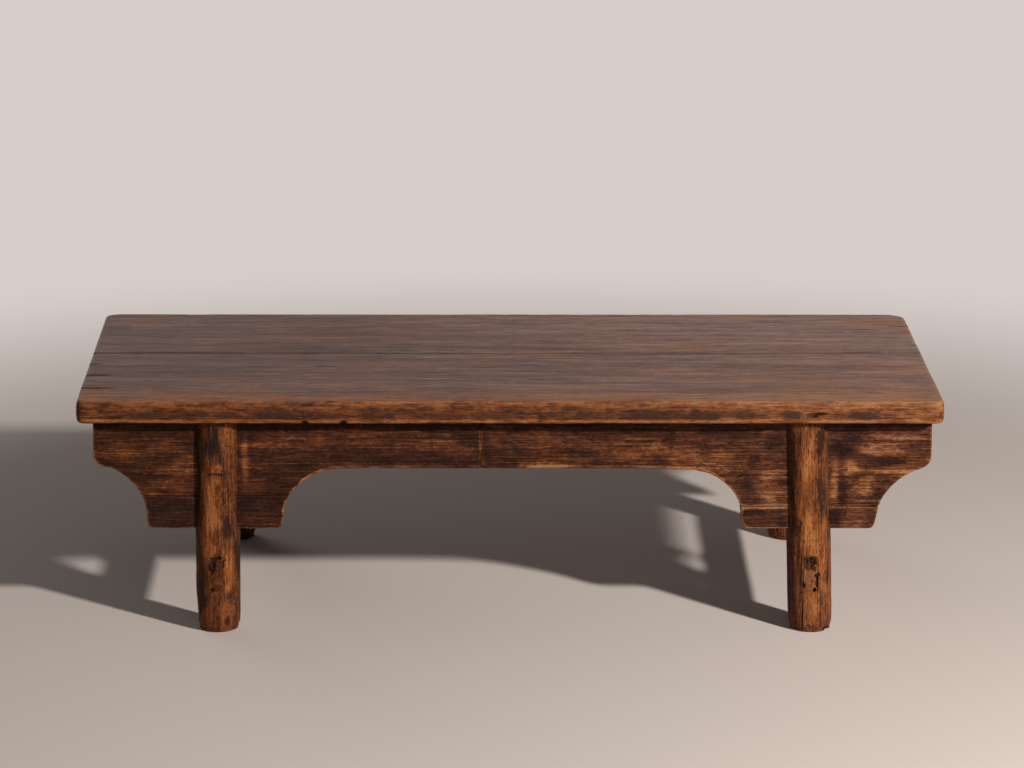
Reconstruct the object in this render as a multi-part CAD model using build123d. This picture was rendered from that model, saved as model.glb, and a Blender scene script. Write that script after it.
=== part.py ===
from build123d import *
from math import cos, radians, sin, tan
import os

# Low kang table, recessed-leg form: a thick two-plank top on four round legs that stand
# astride two long aprons. Millimetres, +Z up, +X along the length, front at -Y.
# The origin is on the floor under the middle of the top.

os.makedirs("parts", exist_ok=True)

LEFT, RIGHT = -1, 1
SIDES = (LEFT, RIGHT)
NAMES = {LEFT: "left", RIGHT: "right"}

# ---------------------------------------------------------------- driving dimensions
# top
top_length = 1220.0
front_plank_width = 300.0
rear_plank_width = 265.0
top_thickness = 34.0
table_height = 340.0
right_end_skew = 8.0            # the right end was sawn out of square, shorter at the back
front_corner_radius = 12.0
rear_left_corner_radius = 20.0
rear_right_corner_radius = 30.0
top_arris_radius = 4.5
bottom_arris_radius = 6.0

# legs
leg_top_diameter = 64.0
leg_foot_diameter = 62.0
leg_setback = 48.0              # long edge of the top to the leg's axis, under the top
left_leg_inset = 196.0          # end of the top to the leg's axis, under the top
right_leg_inset = 190.5
leg_lean = 2.0                  # outward lean to front and back, degrees
left_leg_splay = 0.2            # outward splay to the ends, degrees
right_leg_splay = 1.6
foot_chamfer = 3.0
cheek_tenon_width = 30.0
front_tenon_thickness = 10.0
rear_tenon_thickness = 12.0
cheek_tenon_shoulder = 2.0      # slot wall to the tenon beside it
cheek_tenon_length = 22.0

# long aprons and their spandrels, measured down from the top in the apron's own plane
apron_thickness = 22.0
apron_proud_of_axis = 14.0      # leg axis to the apron's show face
apron_depth = 68.0
left_apron_end_inset = 21.0     # end of the top to the apron's end
right_apron_end_inset = 14.0
left_apron_end_depth = 71.0
right_apron_end_depth = 73.0
apron_end_radius = 20.0
spandrel_depth = 159.0
left_spandrel_outer_reach = 96.5             # leg axis to the spandrel's foot
right_spandrel_outer_reach = 90.0
left_spandrel_inner_reach = 91.5
right_spandrel_inner_reach = 92.0
spandrel_corner_radius = 6.0
spandrel_flare = 5.0            # how much each flank widens from the foot up to the cove
left_outer_cove_run = 48.0
right_outer_cove_run = 61.0
left_outer_cove_drop = 54.0
right_outer_cove_drop = 60.0
left_outer_cove_sagitta = 8.0
right_outer_cove_sagitta = 10.5
left_inner_cove_run = 60.0
right_inner_cove_run = 66.0
left_inner_cove_drop = 55.0
right_inner_cove_drop = 80.0
left_inner_cove_sagitta = 10.0
right_inner_cove_sagitta = 15.0
left_strip_seam_depth = 111.0   # glue line of the spandrel's lower strip
right_strip_seam_depth = 127.0
apron_seam_x = -41.0            # butt joint of the two front boards

# short end aprons
end_apron_depth = 50.0
end_apron_thickness = 18.0
end_apron_housing = 7.0         # how far each end is let into the long apron

# end stretchers, through-tenoned and wedged
stretcher_height = 36.0
stretcher_thickness = 25.0
left_stretcher_bottom = 73.0
right_stretcher_bottom = 62.0
stretcher_edge_radius = 4.0
stretcher_tenon_thickness = 20.0
wedge_outer_height = 13.0
wedge_inner_height = 7.0
wedge_below_tenon = {LEFT: True, RIGHT: False}

# hidden loose pieces
joint_tongue_length = 60.0
joint_tongue_width = 34.0
joint_tongue_thickness = 9.0
joint_tongue_spacing = 240.0
joint_tongue_count = 5
key_width = 30.0
key_thickness = 8.0
key_height = 24.0
inner_key_x = 110.0
outer_key_x = 270.0
splice_length = 70.0
splice_thickness = 8.0
splice_height = 30.0

# fits
side_clearance = 0.1            # round a tenon, key or tongue
end_clearance = 1.5             # beyond its end
scribe_clearance = 0.15         # between a scribed shoulder and a round leg

# the same sizes by side
rear_corner_radius = {LEFT: rear_left_corner_radius, RIGHT: rear_right_corner_radius}
leg_inset = {LEFT: left_leg_inset, RIGHT: right_leg_inset}
leg_splay = {LEFT: left_leg_splay, RIGHT: right_leg_splay}
apron_end_inset = {LEFT: left_apron_end_inset, RIGHT: right_apron_end_inset}
apron_end_depth = {LEFT: left_apron_end_depth, RIGHT: right_apron_end_depth}
spandrel_outer_reach = {LEFT: left_spandrel_outer_reach, RIGHT: right_spandrel_outer_reach}
spandrel_inner_reach = {LEFT: left_spandrel_inner_reach, RIGHT: right_spandrel_inner_reach}
outer_cove_run = {LEFT: left_outer_cove_run, RIGHT: right_outer_cove_run}
outer_cove_drop = {LEFT: left_outer_cove_drop, RIGHT: right_outer_cove_drop}
outer_cove_sagitta = {LEFT: left_outer_cove_sagitta, RIGHT: right_outer_cove_sagitta}
inner_cove_run = {LEFT: left_inner_cove_run, RIGHT: right_inner_cove_run}
inner_cove_drop = {LEFT: left_inner_cove_drop, RIGHT: right_inner_cove_drop}
inner_cove_sagitta = {LEFT: left_inner_cove_sagitta, RIGHT: right_inner_cove_sagitta}
strip_seam_depth = {LEFT: left_strip_seam_depth, RIGHT: right_strip_seam_depth}
stretcher_bottom = {LEFT: left_stretcher_bottom, RIGHT: right_stretcher_bottom}

# ---------------------------------------------------------------- derived places
top_depth = front_plank_width + rear_plank_width
half_length = top_length / 2
half_depth = top_depth / 2
seam_y = front_plank_width - half_depth
underside = table_height - top_thickness
mid_plank_z = underside + top_thickness / 2
leg_line_y = -(half_depth - leg_setback)
lean = radians(leg_lean)
apron_back_of_axis = apron_thickness - apron_proud_of_axis
apron_mid_y = leg_line_y - (apron_proud_of_axis - apron_back_of_axis) / 2
clear_of_all = 2 * top_length

# plane of the front legs' axes: X along the table, local Y up the lean, Z out to the front
front_plane = Plane(
    origin=(0, leg_line_y, underside),
    x_dir=(1, 0, 0),
    z_dir=(0, -cos(lean), sin(lean)),
)
below_top = Pos(0, 0, underside) * Box(
    clear_of_all, clear_of_all, clear_of_all, align=(Align.CENTER, Align.CENTER, Align.MAX)
)


def leg_x(side, drop=0.0):
    """X of a leg's axis, a distance down the apron's plane from the top."""
    return side * (half_length - leg_inset[side] + drop * tan(radians(leg_splay[side])))


def to_rear(shape):
    """The matching piece of the back of the table."""
    return mirror(shape, about=Plane.XZ)


def grown_box(length, width, height, growth=(0.0, 0.0, 0.0)):
    """A box about its centre, with a clearance added at each end of X, Y and Z."""
    return Box(length + 2 * growth[0], width + 2 * growth[1], height + 2 * growth[2])


# ---------------------------------------------------------------- legs
def leg_round(side, growth=0.0):
    """The turned-looking tapered round of one front leg, longer than it needs to be."""
    splay = radians(leg_splay[side])
    up = (-side * sin(splay), sin(lean) * cos(splay), cos(lean) * cos(splay))
    axis_plane = Plane(origin=(leg_x(side), leg_line_y, underside), z_dir=up)
    spare = leg_top_diameter
    taper = (leg_top_diameter - leg_foot_diameter) / 2 / underside
    length = underside + 2 * spare
    bottom_radius = leg_foot_diameter / 2 - taper * spare + growth
    top_radius = leg_top_diameter / 2 + taper * spare + growth
    round_bar = Cone(
        bottom_radius, top_radius, length, align=(Align.CENTER, Align.CENTER, Align.MIN)
    )
    return axis_plane * Pos(0, 0, -underside - spare) * round_bar


def leg_slot():
    """The open bridle slot that the apron stands in, all along the front."""
    blank = Box(
        clear_of_all, spandrel_depth + leg_top_diameter, apron_thickness,
        align=(Align.CENTER, Align.MIN, Align.MIN),
    )
    return front_plane * Pos(0, -spandrel_depth, -apron_back_of_axis) * blank


def cheek_tenons(side, clearance=0.0, gap=0.0):
    """The two upright tenons on a front leg's cheeks, or their mortises with clearance."""
    front_y = -(apron_proud_of_axis + cheek_tenon_shoulder + front_tenon_thickness / 2)
    rear_y = apron_back_of_axis + cheek_tenon_shoulder + rear_tenon_thickness / 2
    tenons = []
    for offset, thickness in ((front_y, front_tenon_thickness), (rear_y, rear_tenon_thickness)):
        block = Box(
            cheek_tenon_width + 2 * clearance,
            thickness + 2 * clearance,
            cheek_tenon_length + gap,
            align=(Align.CENTER, Align.CENTER, Align.MIN),
        )
        tenons.append(Pos(leg_x(side), leg_line_y + offset, underside) * block)
    return tenons


def stretcher_middle_z(side):
    return stretcher_bottom[side] + stretcher_height / 2


def stretcher_x(side):
    """X of an end stretcher: it meets both leg axes at its own height."""
    return leg_x(side, (underside - stretcher_middle_z(side)) / cos(lean))


def stretcher_bar(side, thickness, growth=0.0):
    """A full-length bar along Y at the stretcher's place."""
    bar = Box(thickness + 2 * growth, clear_of_all, stretcher_height + 2 * growth)
    return Pos(stretcher_x(side), 0, stretcher_middle_z(side)) * bar


def wedge_blank(side):
    """The tapered wedge that locks a front tenon, long enough to be trimmed to the leg."""
    reach = leg_top_diameter
    axis_y = leg_line_y - (underside - stretcher_middle_z(side)) * tan(lean)
    rise = (wedge_outer_height - wedge_inner_height) / leg_foot_diameter * reach
    middle = (wedge_outer_height + wedge_inner_height) / 2
    below = wedge_below_tenon[side]
    seat = stretcher_bottom[side] + (0 if below else stretcher_height)
    turn = -1 if below else 1
    corners = (
        (axis_y - reach, seat),
        (axis_y - reach, seat + turn * (middle + rise)),
        (axis_y + reach, seat + turn * (middle - rise)),
        (axis_y + reach, seat),
    )
    face = Plane.YZ * make_face(Polyline(*corners, close=True))
    start = stretcher_x(side) - stretcher_tenon_thickness / 2
    return Pos(start, 0, 0) * extrude(face, stretcher_tenon_thickness, dir=(1, 0, 0))


def foot_trimmer(side):
    """A cone that widens from inside the foot's edge and takes the edge off all round."""
    foot_drop = underside / cos(lean)
    foot_radius = leg_foot_diameter / 2
    cone = Cone(
        foot_radius - foot_chamfer, foot_radius + clear_of_all, foot_chamfer + clear_of_all,
        align=(Align.CENTER, Align.CENTER, Align.MIN),
    )
    return Pos(leg_x(side, foot_drop), leg_line_y - underside * tan(lean), 0) * cone


def front_leg(side):
    leg = leg_round(side) & foot_trimmer(side) & below_top
    leg = leg - leg_slot()
    leg = leg - stretcher_bar(side, stretcher_tenon_thickness, side_clearance)
    leg = leg - wedge_blank(side)
    for tenon in cheek_tenons(side):
        leg = leg + tenon
    return leg


# ---------------------------------------------------------------- long aprons
def apron_half_outline(side):
    """Edges from above the apron's end, round the spandrel, to the middle of the arch."""
    def at(x, down):
        return (x, -down)

    end = side * (half_length - apron_end_inset[side])
    end_depth = apron_end_depth[side]
    foot_middle = leg_x(side, spandrel_depth)
    outer_foot = foot_middle + side * spandrel_outer_reach[side]
    inner_foot = foot_middle - side * spandrel_inner_reach[side]
    outer_low = at(outer_foot + side * spandrel_flare, end_depth + outer_cove_drop[side])
    outer_high = at(outer_foot + side * (spandrel_flare + outer_cove_run[side]), end_depth)
    inner_low = at(inner_foot - side * spandrel_flare, apron_depth + inner_cove_drop[side])
    inner_high = at(inner_foot - side * (spandrel_flare + inner_cove_run[side]), apron_depth)
    radius = spandrel_corner_radius
    edges = [
        Line(at(end, -apron_thickness), at(end, end_depth - apron_end_radius)),
        CenterArc(
            at(end - side * apron_end_radius, end_depth - apron_end_radius),
            apron_end_radius,
            0 if side == RIGHT else 180,
            -90 * side,
        ),
        Line(at(end - side * apron_end_radius, end_depth), outer_high),
        SagittaArc(outer_high, outer_low, -side * outer_cove_sagitta[side]),
        Line(outer_low, at(outer_foot, spandrel_depth - radius)),
        Line(at(outer_foot, spandrel_depth - radius),
             at(outer_foot - side * radius, spandrel_depth)),
        Line(at(outer_foot - side * radius, spandrel_depth),
             at(inner_foot + side * radius, spandrel_depth)),
        Line(at(inner_foot + side * radius, spandrel_depth),
             at(inner_foot, spandrel_depth - radius)),
        Line(at(inner_foot, spandrel_depth - radius), inner_low),
        SagittaArc(inner_low, inner_high, -side * inner_cove_sagitta[side]),
        Line(inner_high, at(0, apron_depth)),
    ]
    return edges, at(end, -apron_thickness)


def apron_blank():
    """The whole front apron with both spandrels, before it is divided into boards."""
    left_edges, left_top = apron_half_outline(LEFT)
    right_edges, right_top = apron_half_outline(RIGHT)
    face = make_face(left_edges + right_edges + [Line(left_top, right_top)])
    back_plane = front_plane.offset(-apron_back_of_axis)
    board = extrude(back_plane * face, apron_thickness, dir=tuple(front_plane.z_dir))
    return board & below_top


def strip_zone(side):
    """Everything lower than the glue line of one side's spandrel strip."""
    block = Box(
        clear_of_all, clear_of_all, clear_of_all,
        align=(Align.MIN if side == RIGHT else Align.MAX, Align.MAX, Align.CENTER),
    )
    return front_plane * Pos(0, -strip_seam_depth[side], 0) * block


def end_apron(side):
    """A short apron, flush with the ends of the long ones and let into their backs."""
    outer_x = half_length - apron_end_inset[side]
    back_y = leg_line_y + apron_back_of_axis * cos(lean)
    half_span = -back_y + end_apron_housing
    block = Box(
        end_apron_thickness, 2 * half_span, end_apron_depth,
        align=(Align.CENTER, Align.CENTER, Align.MAX),
    )
    return Pos(side * (outer_x - end_apron_thickness / 2), 0, underside) * block


def apron_keys(clearance=0.0, gap=0.0):
    """Loose upright keys, half in the front apron's top edge and half in the plank."""
    growth = (clearance, clearance, gap)
    key = grown_box(key_width, key_thickness, key_height, growth)
    places = (-outer_key_x, -inner_key_x, inner_key_x, outer_key_x)
    return [Pos(x, apron_mid_y, underside) * key for x in places]


def splice_tongue(clearance=0.0, gap=0.0):
    """The loose tongue across the butt joint of the two front boards."""
    growth = (gap, clearance, clearance)
    tongue = grown_box(splice_length, splice_height, splice_thickness, growth)
    middle = apron_proud_of_axis - apron_thickness / 2
    return front_plane * Pos(apron_seam_x, -apron_depth / 2, middle) * tongue


# ---------------------------------------------------------------- top
def top_blank():
    """The whole top, before it is divided into its two planks."""
    corners = (
        (-half_length, -half_depth),
        (half_length, -half_depth),
        (half_length - right_end_skew, half_depth),
        (-half_length, half_depth),
    )
    slab = Pos(0, 0, underside) * extrude(make_face(Polyline(*corners, close=True)), top_thickness)
    front_edges = slab.edges().filter_by(Axis.Z).group_by(Axis.Y)[0]
    slab = fillet(front_edges, front_corner_radius)
    for side in SIDES:
        rear_edge = slab.edges().filter_by(Axis.Z).sort_by(Axis((0, half_depth, 0), (side, 3, 0)))[-1]
        slab = fillet(rear_edge, rear_corner_radius[side])
    slab = fillet(slab.faces().sort_by(Axis.Z)[-1].edges(), top_arris_radius)
    return fillet(slab.faces().sort_by(Axis.Z)[0].edges(), bottom_arris_radius)


def joint_tongues(clearance=0.0, gap=0.0):
    """Loose tongues across the glue joint of the two planks."""
    growth = (clearance, gap, clearance)
    tongue = grown_box(joint_tongue_length, joint_tongue_width, joint_tongue_thickness, growth)
    first = -joint_tongue_spacing * (joint_tongue_count - 1) / 2
    return [
        Pos(first + joint_tongue_spacing * i, seam_y, mid_plank_z) * tongue
        for i in range(joint_tongue_count)
    ]


def planks():
    """The front and rear planks, mortised for the legs, keys and tongues."""
    slab = top_blank()
    cutters = joint_tongues(side_clearance, end_clearance)
    uppers = apron_keys(side_clearance, end_clearance)
    for side in SIDES:
        uppers = uppers + cheek_tenons(side, side_clearance, end_clearance)
    for cutter in uppers:
        cutters = cutters + [cutter, to_rear(cutter)]
    for cutter in cutters:
        slab = slab - cutter
    front_zone = Pos(0, seam_y, 0) * Box(
        clear_of_all, clear_of_all, clear_of_all, align=(Align.CENTER, Align.MAX, Align.CENTER)
    )
    return slab & front_zone, slab - front_zone


# ---------------------------------------------------------------- end stretchers
def stretcher(side):
    """One stretcher: scribed shoulders on the round legs and tenons right through them."""
    bar = stretcher_bar(side, stretcher_thickness)
    bar = fillet(bar.edges().filter_by(Axis.Y), stretcher_edge_radius)
    scribe = leg_round(side, scribe_clearance)
    axis_y = leg_line_y - (underside - stretcher_middle_z(side)) * tan(lean)
    between = Box(clear_of_all, -2 * axis_y, clear_of_all)
    body = (bar & between) - scribe - to_rear(scribe)
    tenon = stretcher_bar(side, stretcher_tenon_thickness)
    round_front = leg_round(side)
    within = tenon & between
    tenons = within + (tenon & round_front) + (tenon & to_rear(round_front))
    return body + tenons


def wedge(side):
    return wedge_blank(side) & leg_round(side)


# ---------------------------------------------------------------- assembly
def write(name, shapes):
    group = shapes if isinstance(shapes, list) else [shapes]
    solids = [solid for shape in group for solid in shape.solids()]
    export_step(solids[0] if len(solids) == 1 else Compound(children=solids), f"parts/{name}.step")


front_plank, rear_plank = planks()
write("top_front_plank", front_plank)
write("top_rear_plank", rear_plank)
write("top_joint_tongues", joint_tongues())

for side in SIDES:
    leg = front_leg(side)
    write(f"front_{NAMES[side]}_leg", leg)
    write(f"rear_{NAMES[side]}_leg", to_rear(leg))
    write(f"{NAMES[side]}_stretcher", stretcher(side))
    write(f"{NAMES[side]}_end_apron", end_apron(side))

wedges = [wedge(side) for side in SIDES]
write("stretcher_wedges", wedges + [to_rear(one) for one in wedges])

apron = apron_blank()
for key in apron_keys(side_clearance, end_clearance):
    apron = apron - key
for side in SIDES:
    apron = apron - end_apron(side)
strips = {side: apron & strip_zone(side) for side in SIDES}
board = apron - strip_zone(LEFT) - strip_zone(RIGHT)
write("rear_apron", to_rear(board))
left_zone = Pos(apron_seam_x, 0, 0) * Box(
    clear_of_all, clear_of_all, clear_of_all, align=(Align.MAX, Align.CENTER, Align.CENTER)
)
front_board = board - splice_tongue(side_clearance, end_clearance)
write("front_apron_left", front_board & left_zone)
write("front_apron_right", front_board - left_zone)
write("front_apron_splice", splice_tongue())
for side in SIDES:
    write(f"front_{NAMES[side]}_spandrel_strip", strips[side])
    write(f"rear_{NAMES[side]}_spandrel_strip", to_rear(strips[side]))

keys = apron_keys()
write("front_apron_keys", keys)
write("rear_apron_keys", [to_rear(key) for key in keys])
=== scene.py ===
import bmesh
import bpy
import numpy as np
from mathutils import Matrix, Vector


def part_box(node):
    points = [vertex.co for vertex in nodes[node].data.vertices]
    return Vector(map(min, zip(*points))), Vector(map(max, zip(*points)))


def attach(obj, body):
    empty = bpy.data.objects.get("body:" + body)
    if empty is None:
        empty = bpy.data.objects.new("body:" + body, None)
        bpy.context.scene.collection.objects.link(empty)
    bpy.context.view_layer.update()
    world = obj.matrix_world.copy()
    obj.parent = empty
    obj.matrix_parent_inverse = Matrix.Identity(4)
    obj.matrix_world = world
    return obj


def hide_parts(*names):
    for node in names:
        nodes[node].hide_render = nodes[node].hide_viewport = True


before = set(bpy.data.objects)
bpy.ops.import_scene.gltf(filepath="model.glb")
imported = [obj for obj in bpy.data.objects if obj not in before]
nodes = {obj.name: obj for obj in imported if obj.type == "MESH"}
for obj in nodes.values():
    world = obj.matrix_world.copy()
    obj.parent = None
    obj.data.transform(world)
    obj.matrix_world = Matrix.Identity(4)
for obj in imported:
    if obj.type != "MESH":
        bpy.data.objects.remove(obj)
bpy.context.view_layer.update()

# Lengths in this script are metres. Places are in the part's frame: floor at z 0, front at -Y.
HARD_RUB = 25                       # smoothing passes that tell where the arrises are


# ------------------------------------------------------------------ noise and small sums
def hashed(cell):
    """A repeatable number from 0 to 1 for each whole-number cell."""
    mixed = np.sin(cell @ np.array([127.1, 311.7, 74.7])) * 43758.5453
    return mixed - np.floor(mixed)


def noise(points, scales, seed=0.0):
    """Smooth value noise from 0 to 1; scales are cells per metre along X, Y and Z."""
    spot = points * np.array(scales) + 17.3 * seed
    cell = np.floor(spot)
    part = spot - cell
    part = part * part * (3 - 2 * part)
    value = np.zeros(len(points))
    for corner in np.ndindex(2, 2, 2):
        share = np.prod(np.where(np.array(corner) == 1, part, 1 - part), axis=1)
        value += share * hashed(cell + np.array(corner))
    return value


def cloudy(points, scales, seed=0.0, octaves=3):
    """Several octaves of noise, 0 to 1."""
    value = 0.0
    weight = 0.0
    gain = 1.0
    for octave in range(octaves):
        value = value + gain * noise(points, np.array(scales) * 2.0 ** octave, seed + octave)
        weight += gain
        gain *= 0.55
    return value / weight


def ease(value, low, high):
    """0 below low, 1 above high, smooth between."""
    t = np.clip((value - low) / (high - low), 0, 1)
    return t * t * (3 - 2 * t)


def spots(points, patches, ragged=(70, 70, 150)):
    """The strongest of several soft patches, each (centre, radii, strength), with ragged outlines."""
    best = np.zeros(len(points))
    frayed = 1.1 * (cloudy(points, ragged, 3.0) - 0.5)
    for centre, radii, strength in patches:
        reach = np.linalg.norm((points - np.array(centre)) / np.array(radii), axis=1)
        best = np.maximum(best, strength * (1 - ease(reach + frayed, 0.30, 1.15)))
    return best


# ------------------------------------------------------------------ meshes
def read(source, name, width):
    """One property of all vertices or attribute values, as an array."""
    values = np.zeros(len(source) * width, np.float32)
    source.foreach_get(name, values)
    return values.reshape(-1, width).astype(float) if width > 1 else values.astype(float)


def write_attribute(mesh, name, values):
    """Stores one number for each vertex, for the materials to read."""
    layer = mesh.attributes.get(name) or mesh.attributes.new(name, "FLOAT", "POINT")
    layer.data.foreach_set("value", np.asarray(values, np.float32))


def evaluated(obj):
    """A new mesh with the object's modifiers applied."""
    graph = bpy.context.evaluated_depsgraph_get()
    return bpy.data.meshes.new_from_object(obj.evaluated_get(graph))


def dense_copy(node, voxel, passes):
    """An even, fine mesh of a CAD node with its arrises rubbed round. The attribute "edge" is how
    far a much harder rub would take each point in, in voxels: it is high along every arris."""
    obj = bpy.data.objects.new(node + "_worn", nodes[node].data.copy())
    bpy.context.scene.collection.objects.link(obj)
    remesh = obj.modifiers.new("remesh", "REMESH")
    remesh.mode = "VOXEL"
    remesh.voxel_size = voxel
    rub = obj.modifiers.new("rub", "SMOOTH")
    rub.factor = 0.5
    rub.iterations = HARD_RUB
    hard = evaluated(obj)
    rub.iterations = passes
    soft = evaluated(obj)
    obj.modifiers.clear()
    obj.data = soft
    before = read(soft.vertices, "co", 3)
    after = read(hard.vertices, "co", 3)
    normals = read(soft.vertex_normals, "vector", 3)
    write_attribute(soft, "edge", np.sum((before - after) * normals, axis=1) / voxel)
    bpy.data.meshes.remove(hard)
    return obj


def refine(obj, marks, cuts=2, margin=0.004):
    """Splits the facets round each mark, so that small cracks and dents take shape."""
    points = read(obj.data.vertices, "co", 3)
    near = np.zeros(len(points), bool)
    for mark in marks:
        reach = np.array(mark["radii"]) + margin
        near |= np.all(np.abs(points - np.array(mark["centre"])) < reach, axis=1)
    mesh = bmesh.new()
    mesh.from_mesh(obj.data)
    mesh.verts.ensure_lookup_table()
    edges = [e for e in mesh.edges if near[e.verts[0].index] and near[e.verts[1].index]]
    bmesh.ops.subdivide_edges(mesh, edges=edges, cuts=cuts, use_grid_fill=True)
    mesh.to_mesh(obj.data)
    mesh.free()


def mark_depths(points, marks):
    """How deep the marks go at each point, and how dark they leave it. A mark is an ellipsoid whose
    outline wanders by up to half of "wander", with "waves" cells of noise per metre."""
    deep = np.zeros(len(points))
    dark = np.zeros(len(points))
    for number, mark in enumerate(marks):
        wander = np.zeros((len(points), 3))
        waves = mark.get("waves", (60, 60, 60))
        for axis in range(3):
            swerve = noise(points, waves, number + 3.0 * axis) - 0.5
            wander[:, axis] = mark.get("wander", 0.0) * swerve
        offset = points + wander - np.array(mark["centre"])
        reach = np.linalg.norm(offset / np.array(mark["radii"]), axis=1)
        inside = 1 - ease(reach, 0.3, 1.0)
        deep = np.maximum(deep, mark["depth"] * inside)
        dark = np.maximum(dark, mark.get("dark", 1.0) * (1 - ease(reach, 0.7, 1.25)))
    return deep, dark


def wear_away(obj, node, depth_of, marks=(), shift_of=None):
    """Moves the surface in by depth_of(points, normals, edge) and by the marks, and sideways by
    shift_of(points). Nothing leaves the node's box."""
    mesh = obj.data
    if marks:
        refine(obj, marks)
    points = read(mesh.vertices, "co", 3)
    normals = read(mesh.vertex_normals, "vector", 3)
    edge = read(mesh.attributes["edge"].data, "value", 1)
    deep, dark = mark_depths(points, marks)
    moved = points - normals * (depth_of(points, normals, edge) + deep)[:, None]
    if shift_of:
        moved = moved + shift_of(points)
    low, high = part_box(node)
    moved = np.clip(moved, np.array(low), np.array(high))
    mesh.vertices.foreach_set("co", moved.astype(np.float32).ravel())
    mesh.update()
    return moved, normals, edge, dark


def place_piece(obj, node, material, masks):
    """Gives the piece its masks and finish, and puts it in the CAD node's place."""
    for name, values in masks.items():
        write_attribute(obj.data, name, values)
    obj.data.attributes.remove(obj.data.attributes["edge"])
    obj.data.materials.clear()
    obj.data.materials.append(material)
    for polygon in obj.data.polygons:
        polygon.use_smooth = True
    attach(obj, "root")
    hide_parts(node)


# ------------------------------------------------------------------ materials
def tint(red, green, blue):
    """A colour given as 0 to 255 screen values."""
    def linear(value):
        value = value / 255
        return value / 12.92 if value <= 0.04045 else ((value + 0.055) / 1.055) ** 2.4

    return (linear(red), linear(green), linear(blue), 1.0)


def feed(links, socket, value):
    """Links an output to the socket, or sets its plain value."""
    if isinstance(value, bpy.types.NodeSocket):
        links.new(value, socket)
    else:
        socket.default_value = value


class Paint:
    """Adds the nodes of one material and links them."""

    def __init__(self, name):
        self.material = bpy.data.materials.new(name)
        self.material.use_nodes = True
        self.nodes = self.material.node_tree.nodes
        self.links = self.material.node_tree.links
        self.shader = self.nodes["Principled BSDF"]
        coordinates = self.nodes.new("ShaderNodeTexCoord").outputs["Object"]
        shift = self.vector("MULTIPLY", self.attribute_vector("board"), (3.1, 7.7, 5.3))
        self.place = self.vector("ADD", coordinates, shift)

    def feed(self, socket, value):
        feed(self.links, socket, value)

    def vector(self, operation, a, b):
        node = self.nodes.new("ShaderNodeVectorMath")
        node.operation = operation
        self.feed(node.inputs[0], a)
        self.feed(node.inputs[1], b)
        return node.outputs["Vector"]

    def attribute_vector(self, name):
        node = self.nodes.new("ShaderNodeAttribute")
        node.attribute_name = name
        return node.outputs["Vector"]

    def mask(self, name):
        """One of the numbers stored on the vertices."""
        node = self.nodes.new("ShaderNodeAttribute")
        node.attribute_name = name
        return node.outputs["Fac"]

    def math(self, operation, a, b=0.0):
        node = self.nodes.new("ShaderNodeMath")
        node.operation = operation
        self.feed(node.inputs[0], a)
        self.feed(node.inputs[1], b)
        return node.outputs["Value"]

    def noise(self, scales, detail=4.0, roughness=0.55, distortion=0.0, shift=0.0):
        node = self.nodes.new("ShaderNodeTexNoise")
        place = self.vector("MULTIPLY", self.place, scales)
        self.feed(node.inputs["Vector"], self.vector("ADD", place, (shift, shift, shift)))
        node.inputs["Scale"].default_value = 1.0
        node.inputs["Detail"].default_value = detail
        node.inputs["Roughness"].default_value = roughness
        node.inputs["Distortion"].default_value = distortion
        return node.outputs["Fac"]

    def specks(self, scales, size):
        """Small round pits: 1 inside, 0 between."""
        node = self.nodes.new("ShaderNodeTexVoronoi")
        self.feed(node.inputs["Vector"], self.vector("MULTIPLY", self.place, scales))
        node.inputs["Scale"].default_value = 1.0
        return self.steps(node.outputs["Distance"], size, size * 0.4)

    def waves(self, scales, distortion):
        """Wavy growth lines across the board."""
        node = self.nodes.new("ShaderNodeTexWave")
        node.bands_direction = "Z"
        self.feed(node.inputs["Vector"], self.vector("MULTIPLY", self.place, scales))
        node.inputs["Scale"].default_value = 1.0
        node.inputs["Distortion"].default_value = distortion
        node.inputs["Detail"].default_value = 3.0
        node.inputs["Detail Scale"].default_value = 0.5
        return node.outputs["Fac"]

    def steps(self, value, low, high):
        """0 below low and 1 above high, or the other way round where low is the greater."""
        node = self.nodes.new("ShaderNodeMapRange")
        node.interpolation_type = "SMOOTHSTEP"
        self.feed(node.inputs["Value"], value)
        node.inputs["From Min"].default_value = min(low, high)
        node.inputs["From Max"].default_value = max(low, high)
        node.inputs["To Min"].default_value = 0.0 if low < high else 1.0
        node.inputs["To Max"].default_value = 1.0 if low < high else 0.0
        return node.outputs["Result"]

    def mix(self, factor, a, b, blend="MIX"):
        node = self.nodes.new("ShaderNodeMix")
        node.data_type = "RGBA"
        node.blend_type = blend
        self.feed(node.inputs[0], factor)
        self.feed(node.inputs[6], a)
        self.feed(node.inputs[7], b)
        return node.outputs[2]

    def ramp(self, value, stops):
        """A colour from a scale of (position, colour) stops."""
        node = self.nodes.new("ShaderNodeValToRGB")
        self.feed(node.inputs["Fac"], value)
        band = node.color_ramp
        while len(band.elements) < len(stops):
            band.elements.new(0.5)
        for element, (position, colour) in zip(band.elements, stops):
            element.position = position
            element.color = colour
        return node.outputs["Color"]

    def finish(self, colour, roughness, height, bump_distance, gloss):
        self.feed(self.shader.inputs["Base Color"], colour)
        self.feed(self.shader.inputs["Roughness"], roughness)
        self.shader.inputs["Specular IOR Level"].default_value = gloss
        bump = self.nodes.new("ShaderNodeBump")
        bump.inputs["Strength"].default_value = 1.0
        bump.inputs["Distance"].default_value = bump_distance
        self.feed(bump.inputs["Height"], height)
        self.feed(self.shader.inputs["Normal"], bump.outputs["Normal"])
        return self.material


def along(axis, run, cross):
    """Noise scales for grain that runs along one axis: few cells along it, many across."""
    return tuple(run if name == axis else cross for name in "XYZ")


def swing(paint, value, amount):
    """A noise centred on 0 and scaled."""
    return paint.math("MULTIPLY", paint.math("SUBTRACT", value, 0.5), amount)


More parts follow.
